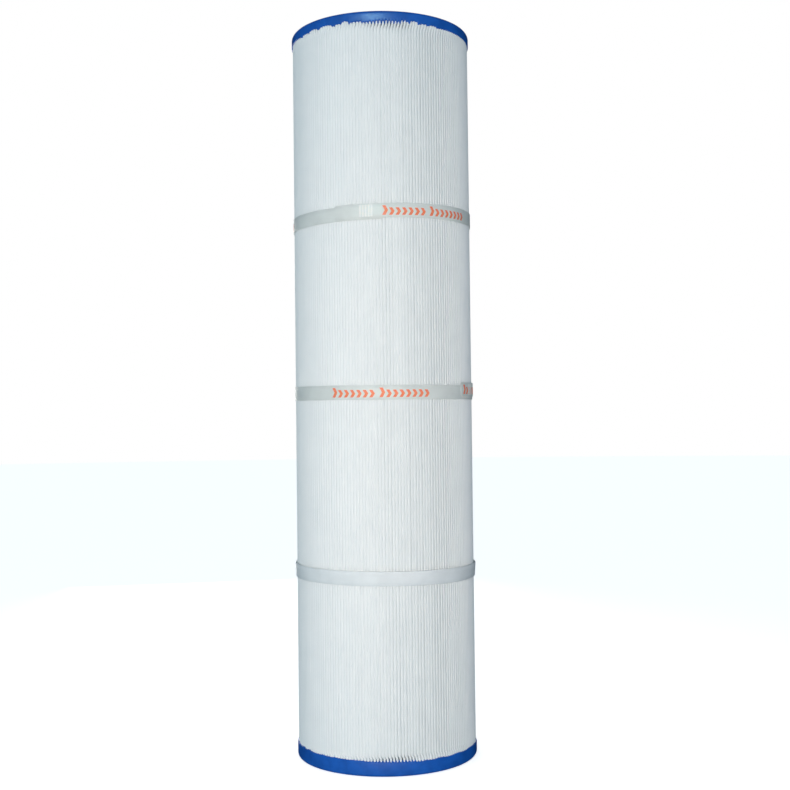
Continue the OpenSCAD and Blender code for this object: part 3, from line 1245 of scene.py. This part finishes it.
@dataclass
class HoldDownBand:
    """A strap wound clockwise round the pleats: strip, lapped tail, weld ribs and, on two, a print.

    Attributes:
        sizes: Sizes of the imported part.
        place: Which band.
        lap_at: Direction in which the strip starts.
        print_starts: Directions of the left ends of its prints.
        ribs_at: Direction of the weld ribs.
        thickness: Thickness of the strip.
        lap: Angle by which the tail laps over the start.
        lap_gap: Room between the two plies.
        ramp: Angle over which the tail climbs on to the start.
        flare: How far the upper edge stands off the pleats.
        climb: How much the strip rises in one turn.
        tilt_side: Tilt towards the side.
        tilt_front: Tilt towards the front.
        raised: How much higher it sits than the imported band.
        wander: Unevenness of the winding.
        ring: Size of the circle on which the unevenness is read.
        seed: Seed of the unevenness.
        step: Angle between two rows of the mesh.
        finish: Finish of the strip.
        marks: Number of arrowheads in a print.
        first_group: Number of them before the space.
        mark_pitch: Distance from one arrowhead to the next.
        mark_space: Extra distance between the two groups.
        mark_base: Height of the print's base line.
        mark_low: Size of the arrowheads that don't lead a group.
        print_room: Length of strip that a print needs.
        ribs: Number of weld ribs.
        rib_pitch: Distance from one rib to the next.
    """

    sizes: CartridgeSizes
    place: BandPlace
    lap_at: float
    print_starts: tuple[float, ...] = ()
    ribs_at: float = math.radians(255)
    thickness: float = 0.5 * MM
    lap: float = math.radians(30)
    lap_gap: float = 0.15 * MM
    ramp: float = math.radians(8)
    flare: float = 0.0
    climb: float = 2.4 * MM
    tilt_side: float = 0.0
    tilt_front: float = 0.0
    raised: float = 0.0
    wander: float = 0.12 * MM
    ring: float = 1.7
    seed: int = 3
    step: float = math.radians(1.0)
    finish: Finish = STRAP
    marks: int = 15
    first_group: int = 7
    mark_pitch: float = 6.2 * MM
    mark_space: float = 3.4 * MM
    mark_base: float = -4.5 * MM
    mark_low: float = 0.78
    print_room: float = 30 * MM
    ribs: int = 5
    rib_pitch: float = 2.7 * MM

    @property
    def low(self) -> float:
        """Height of the strip's lower edge."""
        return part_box(f"band_{self.place.value}")[0].z

    @property
    def high(self) -> float:
        """Height of the strip's upper edge."""
        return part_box(f"band_{self.place.value}")[1].z

    def wrap_tree(self, finish: Finish) -> GeometryTree:
        """The tree that winds a flat layout on to the pleats.

        The layout's X runs along the strip, Y is the height above its inner face and Z runs across it.

        Args:
            finish: The finish of what is wound.

        Returns:
            A tree with inputs for the radius, the lap and the strip's unevenness.
        """
        tree = GeometryTree(f"wind_{finish.name}_{self.place.value}")
        radius = tree.number("Radius", self.sizes.bead_r)
        start = tree.number("Start", self.lap_at)
        ramp_from = tree.number("Ramp From", math.tau - self.ramp)
        ramp_to = tree.number("Ramp To", math.tau)
        lift = tree.number("Lift", self.thickness + self.lap_gap)
        middle = tree.number("Middle", (self.low + self.high) / 2 + self.raised)
        width = tree.number("Width", self.high - self.low)
        flare = tree.number("Flare", self.flare)
        climb = tree.number("Climb", self.climb)
        tilt_side = tree.number("Side Tilt", self.tilt_side)
        tilt_front = tree.number("Front Tilt", self.tilt_front)
        wander = tree.number("Wander", self.wander)
        seed = tree.number("Seed", float(self.seed))
        x, y, z = tree.split(tree.add("GeometryNodeInputPosition").outputs[0])
        turn = tree.over(x, radius)
        angle = tree.minus(start, turn)
        ring_x = tree.times(tree.math("COSINE", angle), self.ring)
        ring_y = tree.times(tree.math("SINE", angle), self.ring)
        up_down = tree.minus(tree.noise(tree.join(ring_x, ring_y, seed), 1.0, 1.0), 0.5)
        in_out = tree.noise(tree.join(ring_x, tree.plus(seed, 9.0), ring_y), 2.5, 1.0)
        step_up = tree.ramp(turn, ramp_from, ramp_to, 0.0, lift)
        share = tree.plus(tree.over(z, width), 0.5)
        spread = tree.times(flare, tree.plus(tree.times(share, 0.7), 0.3))
        r = tree.plus(tree.plus(radius, y), tree.plus(step_up, spread))
        r = tree.plus(r, tree.times(in_out, tree.times(wander, 0.8)))
        tilt = tree.minus(tree.times(tilt_side, tree.math("COSINE", angle)),
                          tree.times(tilt_front, tree.math("SINE", angle)))
        helix = tree.times(climb, tree.minus(tree.over(turn, math.tau), 0.5))
        height = tree.plus(tree.plus(z, middle), tree.plus(tilt, helix))
        height = tree.plus(height, tree.times(up_down, tree.times(wander, 6.0)))
        wound = tree.join(tree.times(tree.math("COSINE", angle), r),
                          tree.times(tree.math("SINE", angle), r), height)
        moved = tree.add("GeometryNodeSetPosition", Geometry=tree.entry.outputs[0], Position=wound)
        tree.close(moved.outputs[0], finish.material())
        return tree

    def wind(self, obj: bpy.types.Object, finish: Finish) -> bpy.types.Object:
        """Winds a flat piece on to the pleats and hangs it on the body.

        Args:
            obj: The flat piece.
            finish: Its finish.

        Returns:
            The same object.
        """
        self.wrap_tree(finish).run(obj)
        obj.data.flip_normals()
        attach(obj, BODY)
        return obj

    def strip(self) -> bpy.types.Object:
        """The strip itself, with rounded long edges and a rounded tail.

        Returns:
            The wound strip.
        """
        w, t = (self.high - self.low) / 2, self.thickness
        section = [(0.0, -w + 0.12 * MM), (0.0, w - 0.12 * MM), (0.14 * MM, w), (t - 0.14 * MM, w),
                   (t, w - 0.16 * MM), (t, w * 0.4), (t, -w * 0.4), (t, -w + 0.16 * MM),
                   (t - 0.14 * MM, -w), (0.14 * MM, -w)]
        total = math.tau + self.lap
        steps = int(round(total / self.step))
        runs = np.linspace(0.0, total, steps + 1) * self.sizes.bead_r
        points, uv = [], []
        for x in runs:
            left = (runs[-1] - x) / (2.0 * MM)
            narrow = 1.0 if left >= 1.0 else 0.86 + 0.14 * math.sqrt(max(0.0, 1 - (1 - left) ** 2))
            for y, z in section:
                points.append((x, y, z * narrow))
                uv.append((x, z))
        faces = [tuple(reversed(f)) for f in MeshKit.tube_faces(len(runs), len(section), False, True)]
        count = len(section)
        faces.append(tuple(range(count)))
        faces.append(tuple((len(runs) - 1) * count + i for i in reversed(range(count))))
        obj = MeshKit.solid(f"band_{self.place.value}_strap", points, faces)
        MeshKit.uv(obj, "strap", np.array(uv))
        self.wind(obj, self.finish)
        MeshKit.sharpen(obj, 50)
        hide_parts(f"band_{self.place.value}")
        return obj

    def run_to(self, angle: float, room: float = 0.0) -> float:
        """Length along the strip at which its outer ply passes a direction.

        Args:
            angle: The direction.
            room: Length that must still fit on the ply towards the strip's start.

        Returns:
            The length from the strip's start.
        """
        turn = (self.lap_at - angle) % math.tau
        if turn < self.lap + room / self.sizes.bead_r:
            turn += math.tau
        return turn * self.sizes.bead_r

    def mark(self) -> bpy.types.Object:
        """One printed arrowhead, flat, a hair above the strip's face, standing on the print's base line.

        Returns:
            The flat mark.
        """
        tall, reach, stroke = 9.0 * MM, 2.3 * MM, 3.1 * MM
        outline = [(0.0, tall), (stroke, tall), (stroke + reach, tall / 2), (stroke, 0.0), (0.0, 0.0),
                   (reach, tall / 2)]
        low, high = self.thickness - 0.05 * MM, self.thickness + 0.10 * MM
        points = [(-x, low, z) for x, z in outline] + [(-x, high, z) for x, z in outline]
        faces = [(2, 1, 0, 5), (4, 3, 2, 5), (6, 7, 8, 11), (8, 9, 10, 11)]
        faces += [((i + 1) % 6, 6 + (i + 1) % 6, 6 + i, i) for i in range(6)]
        return MeshKit.solid("print_mark", points, faces, smooth=False)

    def row_tree(self) -> GeometryTree:
        """The tree that sets marks in a row: two groups of arrowheads, each led by a taller one.

        Returns:
            A tree with inputs for the number of marks, their spacing, the groups and where the row starts.
        """
        tree = GeometryTree(f"print_row_{self.place.value}")
        count = tree.whole("Marks", self.marks)
        pitch = tree.number("Pitch", self.mark_pitch)
        first = tree.whole("First Group", self.first_group)
        space = tree.number("Space", self.mark_space)
        start = tree.number("Start", 0.0)
        base = tree.number("Base", self.mark_base)
        low_size = tree.number("Low Size", self.mark_low)
        index = tree.add("GeometryNodeInputIndex").outputs[0]
        spots = tree.add("GeometryNodePoints", Count=count)
        past = tree.math("GREATER_THAN", index, tree.minus(first, 0.5))
        x = tree.plus(tree.times(index, pitch), tree.times(past, space))
        placed = tree.add("GeometryNodeSetPosition", Geometry=spots.outputs[0],
                          Position=tree.join(tree.minus(start, x), 0.0, base))
        leads = tree.plus(tree.math("LESS_THAN", index, 0.5),
                          tree.math("COMPARE", index, first, 0.5))
        tall = tree.ramp(leads, 0.0, 1.0, low_size, 1.0, smooth=False)
        marks = tree.add("GeometryNodeInstanceOnPoints", Points=placed.outputs[0],
                         Instance=tree.entry.outputs[0], Scale=tree.join(1.0, 1.0, tall))
        tree.close(marks.outputs[0], INK.material())
        return tree

    def prints(self) -> list[bpy.types.Object]:
        """The printed rows.

        Returns:
            One object for each print.
        """
        made = []
        for number, left_end in enumerate(self.print_starts, 1):
            obj = self.mark()
            obj.name = f"band_{self.place.value}_print_{number}"
            self.row_tree().run(obj, Start=self.run_to(left_end, self.print_room))
            made.append(self.wind(obj, INK))
        return made

    def weld_ribs(self) -> bpy.types.Object:
        """The pressed ribs where the tail was welded down.

        Returns:
            The ribs.
        """
        rib = [(-1.0, 0.0), (-0.6, 0.20), (0.6, 0.20), (1.0, 0.0)]
        half = 5.6 * MM
        points = [(x * MM, self.thickness - 0.04 * MM + y * MM, z) for z in (-half, half) for x, y in rib]
        faces = [(0, 1, 5, 4), (1, 2, 6, 5), (2, 3, 7, 6), (3, 0, 4, 7), (0, 3, 2, 1), (4, 5, 6, 7)]
        obj = MeshKit.solid(f"band_{self.place.value}_weld_ribs", points, faces, smooth=False)
        tree = GeometryTree(f"weld_ribs_{self.place.value}")
        count = tree.whole("Ribs", self.ribs)
        pitch = tree.number("Pitch", self.rib_pitch)
        start = tree.number("Start", 0.0)
        index = tree.add("GeometryNodeInputIndex").outputs[0]
        spots = tree.add("GeometryNodePoints", Count=count)
        x = tree.plus(tree.times(index, pitch), start)
        placed = tree.add("GeometryNodeSetPosition", Geometry=spots.outputs[0],
                          Position=tree.join(x, 0.0, 0.0))
        ribs = tree.add("GeometryNodeInstanceOnPoints", Points=placed.outputs[0],
                        Instance=tree.entry.outputs[0])
        tree.close(ribs.outputs[0], WELD.material())
        tree.run(obj, Start=self.run_to(self.ribs_at) - (self.ribs - 1) / 2 * self.rib_pitch)
        return self.wind(obj, WELD)

    def build(self) -> list[bpy.types.Object]:
        """Builds the band with its print and weld ribs, and dresses the adhesive under it.

        Returns:
            The new pieces.
        """
        made = [self.strip(), self.weld_ribs(), *self.prints()]
        Dresser.dress(f"band_adhesive_{self.place.value}", HOT_MELT)
        Dresser.dress(f"band_weld_{self.place.value}", WELD)
        return made


# ---------------------------------------------------------------------------------------------------
# Core, seam and studio
# ---------------------------------------------------------------------------------------------------


class Dresser:
    """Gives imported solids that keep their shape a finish."""

    @staticmethod
    def dress(node: str, finish: Finish) -> None:
        """Replaces a node's materials.

        Args:
            node: The node's name.
            finish: Its finish.
        """
        mesh = bpy.data.objects[node].data
        mesh.materials.clear()
        mesh.materials.append(finish.material())


@dataclass
class CoreTube:
    """The stack of moulded lattice sections, shown as packed."""

    sections: int = 7

    def build(self) -> None:
        """Dresses every section and the fabric's seam."""
        for number in range(1, self.sections + 1):
            Dresser.dress(f"core_section_{number}", MOULDED)
        Dresser.dress("media_seam", HOT_MELT)


@dataclass(frozen=True)
class SoftBox:
    """One soft light: where it stands, its size, power and tint."""

    name: str
    place: Point
    aim: Point
    size: tuple[float, float]
    power: float
    tint: Colour = (1.0, 1.0, 1.0)
    spread: float = 180.0
    shine_only: bool = False

    def build(self) -> bpy.types.Object:
        """Makes the light and turns it to its aim.

        Returns:
            The light.
        """
        data = bpy.data.lights.new(self.name, "AREA")
        data.shape = "RECTANGLE"
        data.size, data.size_y = self.size
        data.energy = self.power
        data.color = self.tint
        data.spread = math.radians(self.spread)
        obj = bpy.data.objects.new(self.name, data)
        turn = (Vector(self.aim) - Vector(self.place)).to_track_quat("-Z", "Y")
        obj.matrix_world = Matrix.Translation(self.place) @ turn.to_matrix().to_4x4()
        obj.visible_diffuse = not self.shine_only
        bpy.context.scene.collection.objects.link(obj)
        return obj


@dataclass
class Studio:
    """A plain white studio: floor, surround, soft boxes and the camera."""

    sizes: CartridgeSizes
    floor_half: float = 12.0
    surround_r: float = 11.0
    ambient: float = 0.36
    room_tint: Colour = (0.68, 0.88, 1.02)
    room_turn: float = math.radians(20.0)
    camera_distance: float = 1.2
    camera_height: float = 0.3247
    camera_pitch: float = 1.497
    camera_yaw: float = 0.541
    camera_roll: float = -0.65
    lens: float = 54.36
    boxes: tuple[SoftBox, ...] = field(default_factory=lambda: (
        SoftBox("key_left", (-0.24, -1.33, 0.30), (0.0, 0.0, 0.30), (0.6, 0.6), 1.72,
                (1.0, 0.85, 0.71), spread=90.0),
        SoftBox("fill_right", (0.36, -1.30, 0.34), (0.0, 0.0, 0.34), (0.6, 0.6), 0.84,
                (1.0, 0.78, 0.75), spread=90.0),
        SoftBox("rim_shine", (-0.22, -1.30, 1.13), (0.0, 0.0, 0.715), (0.62, 0.5), 0.75,
                (0.62, 1.06, 1.0), spread=24.0, shine_only=True),
        SoftBox("back", (-0.26, 1.34, 0.40), (0.0, 0.0, 0.36), (0.8, 0.8), 3.0,
                (1.0, 0.95, 0.90), spread=90.0),
    ))

    def floor(self) -> bpy.types.Object:
        """The pale floor.

        Returns:
            The floor.
        """
        h = self.floor_half
        points = [(-h, -h, 0.0), (h, -h, 0.0), (h, h, 0.0), (-h, h, 0.0)]
        obj = MeshKit.solid("studio_floor", points, [(0, 1, 2, 3)], PAPER, smooth=False)
        obj.visible_diffuse = obj.visible_glossy = False
        return obj

    def surround(self) -> bpy.types.Object:
        """A white surround that only the camera sees, so it adds no light to the cartridge.

        Returns:
            The surround.
        """
        turns, rings = 48, 12
        points, faces = [], []
        for i in range(rings + 1):
            up = math.radians(-12 + 102 * i / rings)
            for j in range(turns):
                a = j * math.tau / turns
                level = self.surround_r * math.cos(up)
                points.append((level * math.cos(a), level * math.sin(a), self.surround_r * math.sin(up)))
        faces = [tuple(reversed(f)) for f in MeshKit.tube_faces(rings + 1, turns, False, True)]
        obj = MeshKit.solid("studio_surround", points, faces)
        paint = bpy.data.materials.new("studio_white")
        paint.use_nodes = True
        graph = Graph(paint.node_tree)
        glow = graph.add("ShaderNodeEmission", Strength=1.0)
        glow.inputs["Color"].default_value = (1.0, 1.0, 1.0, 1.0)
        out = graph.add("ShaderNodeOutputMaterial")
        graph.tree.links.new(glow.outputs[0], out.inputs["Surface"])
        obj.data.materials.append(paint)
        for ray in ("visible_diffuse", "visible_glossy", "visible_transmission", "visible_shadow"):
            setattr(obj, ray, False)
        return obj

    def light(self) -> None:
        """The even light of the room and the soft boxes."""
        world = bpy.data.worlds.new("room")
        bpy.context.scene.world = world
        world.use_nodes = True
        world.cycles_visibility.glossy = False
        graph = Graph(world.node_tree)
        across, ahead, _ = graph.split(graph.add("ShaderNodeTexCoord").outputs["Generated"])
        turn = self.room_turn
        ahead = graph.plus(graph.times(ahead, math.cos(turn)),
                           graph.times(across, math.sin(turn)))
        level = graph.ramp(ahead, -1.0, 1.0, 2.0 * self.ambient, 0.0, smooth=False)
        room = graph.add("ShaderNodeBackground", Strength=level)
        room.inputs["Color"].default_value = (*self.room_tint, 1.0)
        out = graph.add("ShaderNodeOutputWorld")
        graph.tree.links.new(room.outputs[0], out.inputs["Surface"])
        for box in self.boxes:
            box.build()

    def camera(self) -> bpy.types.Object:
        """The camera, level with the lower half of the cartridge and a long step away.

        Returns:
            The camera.
        """
        data = bpy.data.cameras.new("camera")
        data.lens = self.lens
        data.sensor_width = 36.0
        data.clip_end = 60.0
        data.dof.use_dof = False
        obj = bpy.data.objects.new("camera", data)
        turn = (Matrix.Rotation(-math.radians(self.camera_yaw), 4, "Z")
                @ Matrix.Rotation(math.radians(90.0 + self.camera_pitch), 4, "X")
                @ Matrix.Rotation(math.radians(self.camera_roll), 4, "Z"))
        obj.matrix_world = Matrix.Translation((0.0, -self.camera_distance, self.camera_height)) @ turn
        bpy.context.scene.collection.objects.link(obj)
        bpy.context.scene.camera = obj
        return obj

    def build(self) -> None:
        """Builds the studio."""
        self.floor()
        self.surround()
        self.light()
        self.camera()
        settings = bpy.context.scene.view_settings
        settings.view_transform = "Standard"
        settings.look = "None"


# ---------------------------------------------------------------------------------------------------
# The whole cartridge
# ---------------------------------------------------------------------------------------------------


UPPER_LOBES = (
    Lobe(-86, -60, 1.6 * MM), Lobe(-59, -51, 1.3 * MM), Lobe(-51, -42.5, 2.4 * MM),
    Lobe(-41.5, -31, 2.3 * MM), Lobe(-29, -24.5, 1.3 * MM), Lobe(-24.5, -19.5, 3.0 * MM),
    Lobe(-19, -11, 1.3 * MM), Lobe(13, 18, 1.6 * MM), Lobe(19, 24.5, 2.3 * MM), Lobe(26, 31, 0.8 * MM),
    Lobe(32, 38, 1.2 * MM), Lobe(40, 88, 0.9 * MM),
)
LOWER_LOBES = (
    Lobe(-14, -5, 0.25 * MM), Lobe(17, 24, 0.9 * MM), Lobe(24, 32, 0.6 * MM), Lobe(37, 46, 0.5 * MM),
    Lobe(52, 62, 0.5 * MM),
)


def front(degrees: float) -> float:
    """The angle from +X of a direction counted from the front, positive to the viewer's right."""
    return math.radians((270.0 + degrees) % 360.0)


def report(pieces: Iterable[bpy.types.Object]) -> None:
    """Logs each piece's name and triangle count.

    Args:
        pieces: The pieces.
    """
    for piece in pieces:
        triangles = sum(len(p.vertices) - 2 for p in piece.data.polygons)
        LOG.info("%s: %d triangles", piece.name, triangles)


def main() -> None:
    """Builds the cartridge and its studio."""
    logging.basicConfig(level=logging.INFO, format="%(name)s: %(message)s")
    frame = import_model()
    sizes = CartridgeSizes.read(frame["record"])
    report([PleatedMedia(sizes).build()])
    report([EndCap(sizes, End.BOTTOM, seed=21, lobes=LOWER_LOBES, rise=-0.6 * MM, slope=1.3 * MM,
                   spike=0.8 * MM, spike_at=front(6), spike_span=math.radians(15)).build()])
    report([EndCap(sizes, End.TOP, seed=12, lobes=UPPER_LOBES, spike_at=front(3.5)).build()])
    bands = (
        HoldDownBand(sizes, BandPlace.UPPER, math.radians(270), (front(0.3), front(108.2), front(217.0)),
                     ribs_at=math.radians(260.3), climb=1.4 * MM, tilt_side=1.7 * MM,
                     tilt_front=-1.2 * MM, seed=5),
        HoldDownBand(sizes, BandPlace.MIDDLE, math.radians(357), (front(59.6), front(168.0), front(-33.0)),
                     ribs_at=math.radians(342), climb=3.0 * MM, tilt_side=0.3 * MM,
                     tilt_front=-1.3 * MM, raised=1.2 * MM, seed=8),
        HoldDownBand(sizes, BandPlace.LOWER, math.radians(80), ribs_at=math.radians(65), flare=1.3 * MM,
                     tilt_side=-0.5 * MM, tilt_front=-0.6 * MM, raised=0.2 * MM, climb=1.0 * MM, seed=14,
                     finish=CLEAR_STRAP),
    )
    for band in bands:
        report(band.build())
    CoreTube().build()
    Studio(sizes).build()


if __name__ == "__main__":
    main()
